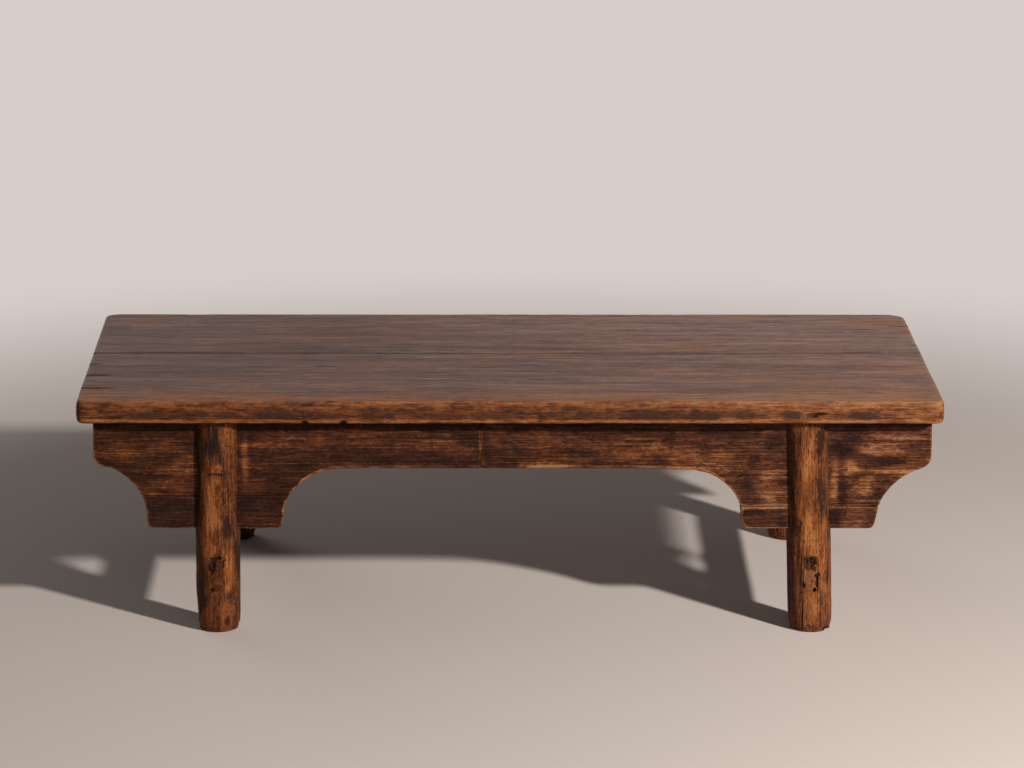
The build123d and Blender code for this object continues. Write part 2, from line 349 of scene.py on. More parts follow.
def total(paint, first, *others):
    """The sum of several values."""
    for other in others:
        first = paint.math("ADD", first, other)
    return first


def painted_sheen(paint, colour):
    """Wood made paler and greyer where the mask says: a painted sheen, strongest on the right, towards
    the key light.
    """
    sheen_colour = paint.mix(1.0, colour, (1.0, 1.08, 1.32, 1.0), "MULTIPLY")
    return paint.mix(paint.mask("painted_sheen"), colour, sheen_colour)


def aged_wood(name, axis, shades, blotch=(14, 40), flake=(110, 260), contrast=1.0, rings=0.0, pits=0.0,
              gloss=0.08):
    """Old lacquer over grained wood, as one scale from lacquer to bare wood. The mask
    "wear_and_painted_light" moves a place up the scale, and the mask "stain_and_painted_shade" lays dark
    residue over it. Both also carry painted
    shade: the first darkens the aprons just under the top, the second the legs' left flanks. The grain
    runs along axis, and the sizes of blotches and flakes are noise cells per metre along it and across
    it."""
    paint = Paint(name)
    fibres = paint.noise(along(axis, 16, 300), 8.0, 0.74)
    hairs = paint.noise(along(axis, 9, 560), 4.0, 0.65, shift=2.0)
    clouds = paint.noise(along(axis, *blotch), 10.0, 0.72, 0.3, shift=9.0)
    flakes = paint.noise(along(axis, *flake), 5.0, 0.74, 0.5, shift=14.0)
    drift = paint.noise(along(axis, 6, 15), 5.0, 0.6, 0.4, shift=30.0)
    scratch = paint.noise(along(axis, 7, 640), 4.0, 0.6, shift=40.0)
    figure = paint.waves(along(axis, 4.0, 105), 7.0)
    level = total(
        paint, paint.mask("wear_and_painted_light"),
        swing(paint, clouds, 0.9 * contrast), swing(paint, fibres, 1.3), swing(paint, hairs, 0.9),
        swing(paint, flakes, 1.0 * contrast),
        paint.math("MULTIPLY", swing(paint, figure, rings), paint.steps(drift, 0.42, 0.60)),
    )
    colour = paint.ramp(level, shades)
    cool = paint.mix(1.0, colour, (0.93, 0.88, 0.93, 1.0), "MULTIPLY")
    warm = paint.mix(1.0, colour, (1.08, 1.00, 0.82, 1.0), "MULTIPLY")
    colour = paint.mix(paint.steps(drift, 0.40, 0.60), cool, warm)
    colour = painted_sheen(paint, colour)
    rubbed = paint.math("MULTIPLY", paint.steps(scratch, 0.60, 0.65), paint.steps(level, 0.30, 0.55))
    colour = paint.mix(paint.math("MULTIPLY", rubbed, 0.45), colour, shades[-2][1])
    # The dark residue also lays painted shade on the legs' left flanks.
    dirt_and_painted_shade = total(
        paint, paint.mask("stain_and_painted_shade"),
        swing(paint, clouds, 1.8), swing(paint, flakes, 2.4), swing(paint, fibres, 1.3),
    )
    residue_and_painted_shade = paint.steps(dirt_and_painted_shade, 0.50, 0.58)
    colour = paint.mix(paint.math("MULTIPLY", residue_and_painted_shade, 0.88), colour, shades[0][1])
    holes = paint.specks(along(axis, 120, 290), 0.36)
    holes = paint.math("MULTIPLY", holes, paint.steps(flakes, 0.48, 0.54))
    colour = paint.mix(paint.math("MULTIPLY", holes, pits), colour, shades[0][1])
    bare = paint.steps(level, 0.50, 0.85)
    shine = total(paint, 0.54, paint.math("MULTIPLY", bare, 0.14), swing(paint, flakes, 0.35))
    height = total(
        paint, paint.math("MULTIPLY", fibres, 0.8), paint.math("MULTIPLY", flakes, 0.6),
        paint.math("MULTIPLY", hairs, 0.4), paint.math("MULTIPLY", bare, -0.30),
        paint.math("MULTIPLY", residue_and_painted_shade, 0.25), paint.math("MULTIPLY", holes, -0.5),
    )
    return paint.finish(colour, shine, height, 0.0017, gloss)


def top_wood(name):
    """The planks: worn grey-brown lacquer on the broad face, rubbed orange wood on the edges."""
    paint = Paint(name)
    fibres = paint.noise((13, 280, 300), 8.0, 0.74)
    lines = paint.noise((6.5, 105, 105), 7.0, 0.72, 0.15, shift=3.0)
    bands = paint.noise((2.6, 34, 34), 6.0, 0.66, 0.4, shift=6.0)
    red_areas = paint.noise((4.0, 13.0, 13.0), 8.0, 0.66, 0.4, shift=11.0)
    clouds = paint.noise((22, 60, 60), 10.0, 0.74, 0.5, shift=9.0)
    flakes = paint.noise((60, 150, 210), 6.0, 0.76, 0.5, shift=14.0)
    scratch = paint.noise((7.0, 130, 300), 4.0, 0.6, shift=40.0)
    # The mask "pale" lightens the broad face to the right and to the rear: painted light.
    tone = total(
        paint, paint.mask("pale"), swing(paint, fibres, 1.2), swing(paint, lines, 1.2),
        swing(paint, bands, 0.7), swing(paint, flakes, 0.80),
    )
    face = paint.ramp(tone, (
        (0.10, tint(46, 33, 30)), (0.35, tint(76, 58, 54)),
        (0.55, tint(103, 80, 74)), (0.90, tint(154, 124, 114)),
    ))
    reddish = paint.ramp(tone, (
        (0.10, tint(54, 34, 28)), (0.35, tint(86, 59, 48)),
        (0.55, tint(114, 80, 65)), (0.90, tint(161, 120, 96)),
    ))
    red_areas = total(paint, red_areas, paint.math("MULTIPLY", paint.mask("warmth"), 0.24))
    face = paint.mix(paint.steps(red_areas, 0.44, 0.64), face, reddish)
    level = total(
        paint, paint.mask("wear_and_painted_light"),
        swing(paint, clouds, 1.3), swing(paint, fibres, 1.4), swing(paint, flakes, 1.4),
    )
    edge = paint.ramp(level, (
        (0.14, tint(34, 18, 10)), (0.32, tint(52, 27, 14)), (0.46, tint(74, 39, 18)),
        (0.58, tint(101, 54, 22)), (0.76, tint(123, 72, 35)), (0.98, tint(152, 101, 59)),
    ))
    edge = painted_sheen(paint, edge)
    edge = paint.mix(paint.math("MULTIPLY", paint.mask("upward"), 0.28), edge, reddish)
    dirt_and_painted_shade = total(
        paint, paint.mask("stain_and_painted_shade"),
        swing(paint, clouds, 2.4), swing(paint, flakes, 2.8), swing(paint, fibres, 1.6),
    )
    edge = paint.mix(paint.math("MULTIPLY", paint.steps(dirt_and_painted_shade, 0.46, 0.54), 0.85), edge, tint(36, 22, 17))
    rubbed = total(
        paint, paint.mask("edging"),
        swing(paint, clouds, 2.0), swing(paint, flakes, 1.4), swing(paint, lines, 1.6),
    )
    pale = paint.math("MULTIPLY", paint.steps(scratch, 0.62, 0.67), 0.40)
    face = paint.mix(pale, face, tint(158, 130, 116))
    cracks = paint.steps(paint.noise((9.0, 130, 200), 4.0, 0.55, 0.0, shift=21.0), 0.62, 0.68)
    face = paint.mix(paint.math("MULTIPLY", cracks, 0.75), face, tint(34, 23, 19))
    colour = paint.mix(paint.steps(rubbed, 0.44, 0.56), face, edge)
    seam = paint.mask("seam")
    colour = paint.mix(paint.math("MULTIPLY", seam, 0.85), colour, tint(26, 16, 13))
    shine = total(paint, 0.58, swing(paint, lines, 0.35), swing(paint, flakes, 0.20))
    height = total(
        paint, paint.math("MULTIPLY", fibres, 0.6), paint.math("MULTIPLY", lines, 0.6),
        paint.math("MULTIPLY", flakes, 0.45), paint.math("MULTIPLY", seam, -0.8),
    )
    return paint.finish(colour, shine, height, 0.0013, 0.14)


top_paint = top_wood("old_top_wood")
apron_paint = aged_wood(
    "maroon_apron_wood", "X",
    ((0.08, tint(25, 12, 8)), (0.28, tint(38, 19, 12)), (0.45, tint(53, 27, 16)),
     (0.60, tint(80, 43, 23)), (0.78, tint(112, 67, 38)), (1.00, tint(146, 100, 64))),
    contrast=1.15, rings=0.07,
)
leg_paint = aged_wood(
    "worn_leg_wood", "Z",
    ((0.05, tint(25, 13, 8)), (0.30, tint(40, 21, 12)), (0.43, tint(64, 34, 17)),
     (0.54, tint(98, 52, 22)), (0.76, tint(122, 68, 31)), (1.00, tint(150, 95, 50))),
    blotch=(20, 58), flake=(120, 300), contrast=1.15, pits=0.8, gloss=0.12,
)
cross_paint = aged_wood(
    "stretcher_wood", "Y",
    ((0.05, tint(25, 13, 8)), (0.28, tint(43, 22, 13)), (0.46, tint(71, 37, 20)),
     (0.66, tint(105, 60, 29)), (1.00, tint(142, 92, 52))),
    flake=(160, 240), contrast=1.3,
)
inner_paint = aged_wood(
    "joint_wood", "X",
    ((0.0, tint(120, 86, 56)), (0.5, tint(150, 112, 76)), (1.0, tint(170, 130, 90))),
)
# the pieces inside the joints keep their CAD meshes
for node in ("top_joint_tongues", "front_apron_keys", "rear_apron_keys", "front_apron_splice"):
    nodes[node].data.materials.clear()
    nodes[node].data.materials.append(inner_paint)

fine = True

# ------------------------------------------------------------------ top
HALF_DEPTH = 0.2825
TOP_Z = 0.340
UNDER_Z = 0.306
SEAM_Y = 0.0175
MIDDLE_Z = (TOP_Z + UNDER_Z) / 2
JOINT_REACH = 0.0025                # how far from a joint's plane its own faces lie at most
JOINT_PRESS = 0.001                 # how far they move out, before the node's box stops them

# splits at the left end, a dent in the front edge, and two notches in its lower arris
front_marks = [
    {"centre": (-0.594, -0.123, 0.336), "radii": (0.028, 0.0034, 0.012), "depth": 0.004},
    {"centre": (-0.590, -0.201, 0.336), "radii": (0.036, 0.0038, 0.012), "depth": 0.004},
    {"centre": (-0.602, -0.053, 0.336), "radii": (0.014, 0.0028, 0.010), "depth": 0.003},
    {"centre": (0.430, -HALF_DEPTH, 0.3225), "radii": (0.015, 0.004, 0.0020), "depth": 0.005},
    {"centre": (0.424, -HALF_DEPTH, 0.3185), "radii": (0.008, 0.004, 0.0022), "depth": 0.004},
    {"centre": (-0.288, -0.280, 0.3075), "radii": (0.0050, 0.008, 0.0050), "depth": 0.005},
    {"centre": (-0.234, -0.280, 0.3075), "radii": (0.0058, 0.008, 0.0055), "depth": 0.005},
]
for mark in front_marks:
    mark.update({"wander": 0.003, "waves": (70, 20, 70)})
rear_marks = [{"centre": (0.592, 0.198, 0.337), "radii": (0.026, 0.0030, 0.010), "depth": 0.003}]

# patches of bare wood and of dark residue: centre, radii and strength
front_wear = [
    ((-0.590, -0.250, TOP_Z), (0.055, 0.062, 0.02), 0.60),
    ((-0.430, -0.245, TOP_Z), (0.135, 0.052, 0.02), 0.62),
    ((-0.360, -0.262, TOP_Z), (0.080, 0.040, 0.02), 0.40),
    ((-0.100, -0.268, TOP_Z), (0.120, 0.030, 0.02), 0.30),
    ((0.150, -0.262, TOP_Z), (0.140, 0.036, 0.02), 0.26),
    ((0.425, -0.235, TOP_Z), (0.100, 0.050, 0.02), 0.32),
    ((0.555, -0.242, TOP_Z), (0.060, 0.045, 0.02), 0.30),
]
front_stain = [
    ((-0.500, -HALF_DEPTH, 0.318), (0.060, 0.02, 0.0110), 0.48),
    ((-0.440, -HALF_DEPTH, 0.315), (0.040, 0.02, 0.0080), 0.36),
    ((-0.395, -HALF_DEPTH, 0.316), (0.030, 0.02, 0.0100), 0.45),
    ((-0.335, -HALF_DEPTH, 0.319), (0.050, 0.02, 0.0110), 0.52),
    ((-0.255, -HALF_DEPTH, 0.317), (0.035, 0.02, 0.0090), 0.43),
    ((-0.190, -HALF_DEPTH, 0.318), (0.040, 0.02, 0.0100), 0.48),
    ((-0.110, -HALF_DEPTH, 0.320), (0.050, 0.02, 0.0090), 0.37),
    ((-0.020, -HALF_DEPTH, 0.318), (0.060, 0.02, 0.0100), 0.36),
    ((0.060, -HALF_DEPTH, 0.320), (0.030, 0.02, 0.0080), 0.33),
    ((0.120, -HALF_DEPTH, 0.320), (0.050, 0.02, 0.0100), 0.40),
    ((0.195, -HALF_DEPTH, 0.318), (0.040, 0.02, 0.0120), 0.65),
    ((0.265, -HALF_DEPTH, 0.318), (0.045, 0.02, 0.0130), 0.69),
    ((0.330, -HALF_DEPTH, 0.320), (0.030, 0.02, 0.0100), 0.56),
    ((0.395, -HALF_DEPTH, 0.319), (0.018, 0.02, 0.0110), 0.64),
    ((0.490, -HALF_DEPTH, 0.319), (0.045, 0.02, 0.0110), 0.69),
]


def closed_joint(depth, distance, across):
    """Brings the faces of a joint back together. Distance is how far a point lies from the joint's
    plane, and across is the part of its normal that points through that plane."""
    return np.where((distance < JOINT_REACH) & (np.abs(across) > 0.7), -JOINT_PRESS, depth)


def plank_depth(points, normals, edge):
    """Slow hollows along the planks, and nibbles out of their long arrises."""
    hollows = 0.0008 * cloudy(points, (7, 14, 14), 5.0)
    arris = ease(edge, 0.15, 0.70)
    nibbles = 0.0022 * arris * ease(cloudy(points, (45, 60, 60), 8.0), 0.52, 0.80)
    depth = hollows * ease(np.abs(points[:, 2] - MIDDLE_Z), 0.004, 0.010) + nibbles
    return closed_joint(depth, np.abs(points[:, 1] - SEAM_Y), normals[:, 1])


def plank_masks(points, normals, dark, board, patches, stains):
    """The broad face keeps its lacquer, but for patches along the front. The edges are rubbed bare
    in their upper and lower parts and stained between; the lower arris is lightened further as a
    painted highlight. The broad face is lighter to the right and to the rear: painted light."""
    upward = ease(normals[:, 2], 0.35, 0.85)
    sideways = 1 - ease(np.abs(normals[:, 2]), 0.35, 0.85)
    rim = ease(points[:, 2], TOP_Z - 0.016, TOP_Z - 0.003) * sideways
    # the band along the lower arris: rubbed wood, lightened further as a painted highlight
    lower_rim_wear_and_highlight = ease(-points[:, 2], -UNDER_Z - 0.010, -UNDER_Z - 0.005) * sideways
    from_front = points[:, 1] + HALF_DEPTH
    near_front = 1 - ease(from_front, 0.003, 0.050)
    from_rear = HALF_DEPTH - points[:, 1]
    near_rear = 1 - ease(from_rear, 0.004, 0.030)
    near_end = ease(np.abs(points[:, 0]), 0.585, 0.609)
    patch = spots(points, patches)
    edging = 1.2 * sideways + 1.2 * (normals[:, 2] < -0.3)
    edging = edging + upward * (0.66 * near_front + 0.20 * near_end + 0.26 * near_rear + patch)
    to_right = ease(points[:, 0], 0.05, 0.50)
    stain_and_painted_shade = spots(points, stains) * sideways
    stain_and_painted_shade = np.maximum(stain_and_painted_shade * (1 - 0.8 * lower_rim_wear_and_highlight), 1.6 * dark)
    warmth = 1 - ease(from_front, 0.020, 0.140)
    # lighter to the right and to the rear: painted light and sheen
    pale = 0.445 + 0.18 * ease(points[:, 0], -0.45, 0.50) + 0.10 * ease(points[:, 1], 0.0, 0.25)
    pale = pale + 0.02 * warmth
    wear_and_painted_light = 0.465 + 0.14 * to_right + 0.12 * rim + (0.34 - 0.08 * to_right) * lower_rim_wear_and_highlight + 0.34 * upward
    strong = 1 - 0.60 * ease(points[:, 0], -0.46, -0.20)
    seam = strong * (1 - ease(np.abs(points[:, 1] - SEAM_Y), 0.0016, 0.0046)) * upward
    return {
        "wear_and_painted_light": wear_and_painted_light, "stain_and_painted_shade": stain_and_painted_shade, "edging": edging, "pale": pale, "upward": upward,
        # greyer towards the right: a painted sheen
        "painted_sheen": ease(points[:, 0], -0.05, 0.50), "warmth": warmth,
        "seam": np.maximum(seam, 1.3 * dark * upward), "board": np.full(len(points), board),
    }


plank_voxel = 0.0028 if fine else 0.0045
for node, board, marks, patches, stains in (
    ("top_front_plank", 0.0, front_marks, front_wear, front_stain),
    ("top_rear_plank", 1.0, rear_marks, (), ()),
):
    plank = dense_copy(node, plank_voxel, 1)
    points, normals, _, dark = wear_away(plank, node, plank_depth, marks)
    masks = plank_masks(points, normals, dark, board, patches, stains)
    place_piece(plank, node, top_paint, masks)


# ------------------------------------------------------------------ aprons
BUTT_X = -0.041                     # where the front apron's two boards meet
GLUE_Z = 0.195                      # the left spandrel strips' glue line
ARCH_Z = 0.238                      # the flat part of the arch, in the solids
FOOT_CORNER_Z = 0.1498              # the middle of the cut corners at the spandrels' feet

# each cut corner: the X of its middle, the side that it faces, and how far it is filled
foot_corners = [(-0.5088, -1, 0.0034), (-0.3253, 1, 0.0018), (0.3342, -1, 0.0030), (0.5117, 1, 0.0012)]
apron_wear = [
    ((-0.520, -0.25, 0.262), (0.080, 0.05, 0.016), 0.20),
    ((-0.460, -0.25, 0.238), (0.045, 0.05, 0.026), 0.22),
    ((-0.500, -0.25, 0.205), (0.070, 0.05, 0.014), 0.18),
    ((-0.374, -0.25, 0.250), (0.006, 0.05, 0.050), 0.30),
    ((-0.300, -0.25, 0.275), (0.070, 0.05, 0.018), 0.19),
    ((-0.200, -0.25, 0.280), (0.080, 0.05, 0.018), 0.22),
    ((-0.120, -0.25, 0.270), (0.070, 0.05, 0.018), 0.19),
    ((0.030, -0.25, 0.272), (0.090, 0.05, 0.022), 0.15),
    ((0.055, -0.25, 0.240), (0.042, 0.05, 0.010), 0.22),
    ((0.190, -0.25, 0.262), (0.090, 0.05, 0.026), 0.14),
    ((0.265, -0.25, 0.250), (0.070, 0.05, 0.022), 0.22),
    ((0.300, -0.25, 0.232), (0.040, 0.05, 0.020), 0.18),
    ((0.365, -0.25, 0.205), (0.020, 0.05, 0.040), 0.26),
    ((0.525, -0.25, 0.262), (0.046, 0.05, 0.010), 0.38),
    ((0.550, -0.25, 0.281), (0.060, 0.05, 0.007), 0.24),
    ((0.555, -0.25, 0.231), (0.050, 0.05, 0.009), 0.26),
    ((0.482, -0.25, 0.233), (0.014, 0.05, 0.015), 0.36),
    ((0.459, -0.25, 0.214), (0.008, 0.05, 0.034), 0.30),
    ((0.501, -0.25, 0.208), (0.018, 0.05, 0.024), 0.34),
    ((0.490, -0.25, 0.166), (0.026, 0.05, 0.026), 0.17),
]
apron_stain = [
    ((-0.575, -0.25, 0.268), (0.030, 0.05, 0.012), 0.38),
    ((-0.500, -0.25, 0.288), (0.100, 0.05, 0.012), 0.35),
    ((-0.320, -0.25, 0.200), (0.040, 0.05, 0.050), 0.42),
    ((-0.160, -0.25, 0.248), (0.100, 0.05, 0.012), 0.30),
    ((0.120, -0.25, 0.288), (0.080, 0.05, 0.010), 0.36),
    ((0.225, -0.25, 0.278), (0.016, 0.05, 0.018), 0.52),
    ((0.300, -0.25, 0.288), (0.060, 0.05, 0.010), 0.45),
    ((0.375, -0.25, 0.272), (0.020, 0.05, 0.014), 0.52),
    ((0.330, -0.25, 0.220), (0.018, 0.05, 0.020), 0.49),
    ((0.470, -0.25, 0.262), (0.030, 0.05, 0.016), 0.66),
    ((0.530, -0.25, 0.245), (0.046, 0.05, 0.009), 0.60),
    ((0.471, -0.25, 0.196), (0.011, 0.05, 0.050), 0.50),
    ((0.519, -0.25, 0.199), (0.012, 0.05, 0.016), 0.48),
    ((0.459, -0.25, 0.166), (0.016, 0.05, 0.022), 0.56),
    ((0.330, -0.25, 0.166), (0.060, 0.05, 0.020), 0.43),
    ((0.275, -0.25, 0.262), (0.012, 0.05, 0.020), 0.50),
    ((0.345, -0.25, 0.250), (0.014, 0.05, 0.014), 0.50),
]


def board_depth(points, normals, edge):
    """Flat boards with shallow hollows and knocked arrises. The butted ends stay tight."""
    hollows = 0.0004 * cloudy(points, (12, 20, 20), 3.0)
    knocks = 0.0012 * ease(edge, 0.15, 0.60) * ease(cloudy(points, (50, 50, 50), 6.0), 0.55, 0.80)
    return closed_joint(hollows + knocks, np.abs(points[:, 0] - BUTT_X), normals[:, 0])


def arch_span(x):
    """1 along the arch, 0 past its haunches."""
    return ease(x, -0.345, -0.275) * (1 - ease(x, 0.262, 0.296))


def outline_shift(points):
    """The long aprons' outline, nearer the real one than the solids: the arch hangs about 4 mm
    lower, the right haunch is squarer, and the spandrels' feet are wider, with fuller corners."""
    x, z = points[:, 0], points[:, 2]
    shift = np.zeros((len(points), 3))
    sag = 0.0042 + 0.0020 * (1 - ease(np.abs(x + 0.262), 0.0, 0.045))
    sag = sag + 0.0024 * (1 - ease(np.abs(x - 0.250), 0.0, 0.060))
    near_arch = (1 - ease(z, ARCH_Z - 0.002, ARCH_Z + 0.024)) * ease(z, GLUE_Z + 0.001, GLUE_Z + 0.011)
    shift[:, 2] -= sag * arch_span(x) * near_arch
    haunch = np.hypot((x - 0.318) / 0.050, (z - 0.196) / 0.045)
    shift[:, 0] += 0.0048 * (1 - ease(haunch, 0.1, 1.0))
    left_foot = 1 - ease(np.hypot((x + 0.520) / 0.030, (z - 0.147) / 0.030), 0.3, 1.0)
    right_foot = 1 - ease(np.hypot((x - 0.516) / 0.030, (z - 0.160) / 0.034), 0.3, 1.0)
    shift[:, 0] += 0.0024 * right_foot - 0.0020 * left_foot
    for corner_x, side, fill in foot_corners:
        out, down = (x - corner_x) * side, FOOT_CORNER_Z - z
        full = np.clip(1 - np.abs(out - down) / 0.0075, 0, 1) * np.clip(1 + (out + down) / 0.016, 0, 1)
        shift[:, 0] += 0.7 * fill * side * full
        shift[:, 2] -= 0.7 * fill * full
    return shift


def board_masks(points, normals, edge, dark, board, level, patches, stains, bare=0.60):
    """Arrises are rubbed bare along the arch and the flanks, less along the left side's glue lines
    and butt joint, and on the right end outside the leg."""
    front = ease(-normals[:, 1], 0.2, 0.6)
    arch = arch_span(points[:, 0]) * (np.abs(points[:, 2] - ARCH_Z) < 0.012)
    rim = ease(edge, 0.12 - 0.07 * arch, 0.38 - 0.20 * arch) * ease(-points[:, 2], -0.296, -0.290)
    butt = 1 - ease(np.abs(points[:, 0] - BUTT_X), 0.003, 0.010)
    tight = np.maximum(0.65 * butt, 1 - ease(np.abs(points[:, 2] - GLUE_Z), 0.002, 0.006))
    tight = tight * (points[:, 0] < 0)
    rim = rim * (0.80 + 1.2 * (cloudy(points, (30, 30, 30), 12.0) - 0.5)) * (1 - 0.7 * tight)
    rim = rim * (1 - 0.6 * ease(points[:, 0], 0.43, 0.46))
    middle = 1 - ease(np.abs(points[:, 0] + 0.12), 0.08, 0.20)
    to_right = ease(points[:, 0], 0.0, 0.40)
    wear_and_painted_light = level + 0.06 * to_right + (spots(points, patches) - 0.04 * middle) * front
    wear_and_painted_light = wear_and_painted_light + bare * rim * (1 - (0.46 - 0.10 * to_right) * arch)
    # the strip just under the top is darkened: painted shade from the top's overhang
    wear_and_painted_light = wear_and_painted_light - 0.12 * ease(points[:, 2], 0.290, 0.302)
    stain_and_painted_shade = np.maximum(spots(points, stains), 0.42 * butt) * front
    stain_and_painted_shade = np.maximum(stain_and_painted_shade * (1 - rim), 1.4 * dark)
    return {
        "wear_and_painted_light": wear_and_painted_light, "stain_and_painted_shade": stain_and_painted_shade, "board": np.full(len(points), board),
        # greyer towards the right and along the rubbed front arrises: a painted sheen
        "painted_sheen": np.maximum(ease(points[:, 0], 0.0, 0.50), 0.9 * rim * front),
    }


front_voxel = 0.0017 if fine else 0.0030
rear_voxel = 0.0024 if fine else 0.0040
for node, board, level, voxel in (
    ("front_apron_left", 2.0, 0.40, front_voxel),
    ("front_apron_right", 3.0, 0.435, front_voxel),
    ("front_left_spandrel_strip", 4.0, 0.34, front_voxel),
    ("front_right_spandrel_strip", 5.0, 0.41, front_voxel),
    ("rear_apron", 6.0, 0.42, rear_voxel),
    ("rear_left_spandrel_strip", 7.0, 0.38, rear_voxel),
    ("rear_right_spandrel_strip", 8.0, 0.38, rear_voxel),
):
    piece = dense_copy(node, voxel, 3)
    points, normals, edge, dark = wear_away(piece, node, board_depth, (), outline_shift)
    masks = board_masks(points, normals, edge, dark, board, level, apron_wear, apron_stain)
    place_piece(piece, node, apron_paint, masks)

for node, board in (("left_end_apron", 9.0), ("right_end_apron", 10.0)):
    piece = dense_copy(node, rear_voxel, 2)
    points, normals, edge, dark = wear_away(piece, node, board_depth)
    masks = board_masks(points, normals, edge, dark, board, 0.42, (), ())
    place_piece(piece, node, cross_paint, masks)


# ------------------------------------------------------------------ stretchers
def worn_mouth(node, marks):
    """Dents and gaps round a tenon's end, from offsets along X, heights, half sizes and depths."""
    low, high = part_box(node)
    middle, front = (low[0] + high[0]) / 2, low[1]
    return [
        {"centre": (middle + dx, front, z), "radii": (half_x, 0.008, half_z), "depth": depth,
         "wander": 0.007, "waves": (280, 60, 180), "dark": 0.56}
        for dx, z, half_x, half_z, depth in marks
    ]


left_mouth = worn_mouth("left_stretcher", (
    (-0.0010, 0.1095, 0.0080, 0.0034, 0.0034), (-0.0102, 0.0900, 0.0018, 0.0200, 0.0020),
    (0.0100, 0.1020, 0.0014, 0.0080, 0.0018), (-0.0070, 0.0620, 0.0050, 0.0030, 0.0018),
    (-0.0045, 0.0960, 0.0016, 0.0090, 0.0016),
))
right_mouth = worn_mouth("right_stretcher", (
    (-0.0010, 0.1085, 0.0100, 0.0038, 0.0035), (0.0020, 0.0995, 0.0085, 0.0028, 0.0030),
    (-0.0060, 0.1040, 0.0016, 0.0060, 0.0025), (0.0100, 0.0770, 0.0024, 0.0140, 0.0040),
    (0.0070, 0.0625, 0.0034, 0.0036, 0.0050), (-0.0095, 0.0700, 0.0018, 0.0080, 0.0014),
    (0.0060, 0.1040, 0.0030, 0.0050, 0.0045), (0.0140, 0.1140, 0.0012, 0.0080, 0.0020),
))


def end_depth(points, normals, edge):
    """As a board, with tenon ends that are worn back unevenly and spread a little in their mouths."""
    ends = ease(np.abs(normals[:, 1]), 0.7, 0.9)
    from_tip = np.abs(points[:, 1]).max() - np.abs(points[:, 1])
    spread = 0.0005 * (1 - ends) * (1 - ease(from_tip, 0.004, 0.010))
    worn_back = 0.0012 * ends * cloudy(points, (160, 30, 160), 15.0)
    return board_depth(points, normals, edge) + worn_back - spread


cross_voxel = 0.0018 if fine else 0.003
wedge_voxel = 0.0012 if fine else 0.002
for node, board, voxel, marks in (
    ("left_stretcher", 11.0, cross_voxel, left_mouth),
    ("right_stretcher", 12.0, cross_voxel, right_mouth),
    ("stretcher_wedges", 13.0, wedge_voxel, left_mouth + right_mouth),
):
    piece = dense_copy(node, voxel, 2)
    points, normals, edge, dark = wear_away(piece, node, end_depth, marks)
    to_right = ease(points[:, 0], -0.1, 0.1)
    ends = ease(-normals[:, 1], 0.6, 0.9)
    level = 0.50 + (0.06 + 0.20 * ends) * to_right
    masks = board_masks(points, normals, edge, dark, board, level, (), (), 0.15)
    crushed = ease(points[:, 2], 0.088, 0.100) * to_right
    masks["stain_and_painted_shade"] = np.maximum(masks["stain_and_painted_shade"], ends * (0.32 - 0.06 * to_right + 0.44 * crushed))
    place_piece(piece, node, cross_paint, masks)


# ------------------------------------------------------------------ legs
LEG_RAGGED = (150, 150, 50)

left_leg_marks = left_mouth + [
    {"centre": (-0.4115, -0.2650, 0.2305), "radii": (0.0110, 0.010, 0.0016), "depth": 0.0016,
     "wander": 0.003, "waves": (90, 60, 140), "dark": 0.6},
    {"centre": (-0.4015, -0.2740, 0.0180), "radii": (0.0042, 0.008, 0.0085), "depth": 0.0022,
     "wander": 0.008, "waves": (200, 60, 200), "dark": 0.62},
    {"centre": (-0.4500, -0.2450, 0.0000), "radii": (0.0140, 0.040, 0.0700), "depth": 0.0028,
     "dark": 0.0},
]
right_leg_marks = right_mouth + [
    {"centre": (0.4150, -0.2760, 0.0260), "radii": (0.0010, 0.010, 0.0300), "depth": 0.0040,
     "wander": 0.002},
    {"centre": (0.4510, -0.2600, 0.0020), "radii": (0.0060, 0.020, 0.0050), "depth": 0.0030,
     "wander": 0.003},
]


def leg_depth(points, normals, edge):
    """Hand-shaped flats, run-down grooves and a rounded foot. The depth is below 0 on the flats,
    which stand out from the solid but stay in its box. The edge is not used."""
    flats = 0.0012 * (cloudy(points, (30, 30, 7), 2.0) - 0.75)
    grooves = 0.0009 * ease(cloudy(points, (140, 140, 16), 4.0), 0.50, 0.75)
    round_side = ease(1 - np.abs(normals[:, 2]), 0.1, 0.5)
    foot = 0.0034 * (1 - ease(points[:, 2], 0.0, 0.013)) * round_side
    foot = foot + 0.0012 * (1 - ease(points[:, 2], 0.006, 0.030)) * cloudy(points, (60, 60, 60), 9.0)
    return foot + (flats + grooves) * ease(points[:, 2], 0.0005, 0.003)


def leg_masks(points, dark, board, patches, stains):
    """Streaks of lacquer and bare wood down the leg, with patches of each where they are given. Some
    dark patches on the left flanks are painted shade, and the right leg is made greyer as a painted
    sheen.
    """
    lengthwise = cloudy(points, (38, 38, 9), 30.0 + board)
    bare = spots(points, patches, LEG_RAGGED)
    wear_and_painted_light = 0.5 + 0.5 * (lengthwise - 0.5) + bare
    stain_and_painted_shade = 0.8 * (cloudy(points, (48, 48, 11), 33.0 + board) - 0.42)
    stain_and_painted_shade = np.maximum(stain_and_painted_shade, spots(points, stains, LEG_RAGGED))
    stain_and_painted_shade = np.maximum(stain_and_painted_shade - 1.2 * bare, 1.5 * dark)
    # the right leg is made greyer: a painted sheen
    sheen_on_right = ease(points[:, 0], -0.1, 0.1)
    return {"wear_and_painted_light": wear_and_painted_light, "stain_and_painted_shade": stain_and_painted_shade, "painted_sheen": sheen_on_right, "board": np.full(len(points), board)}


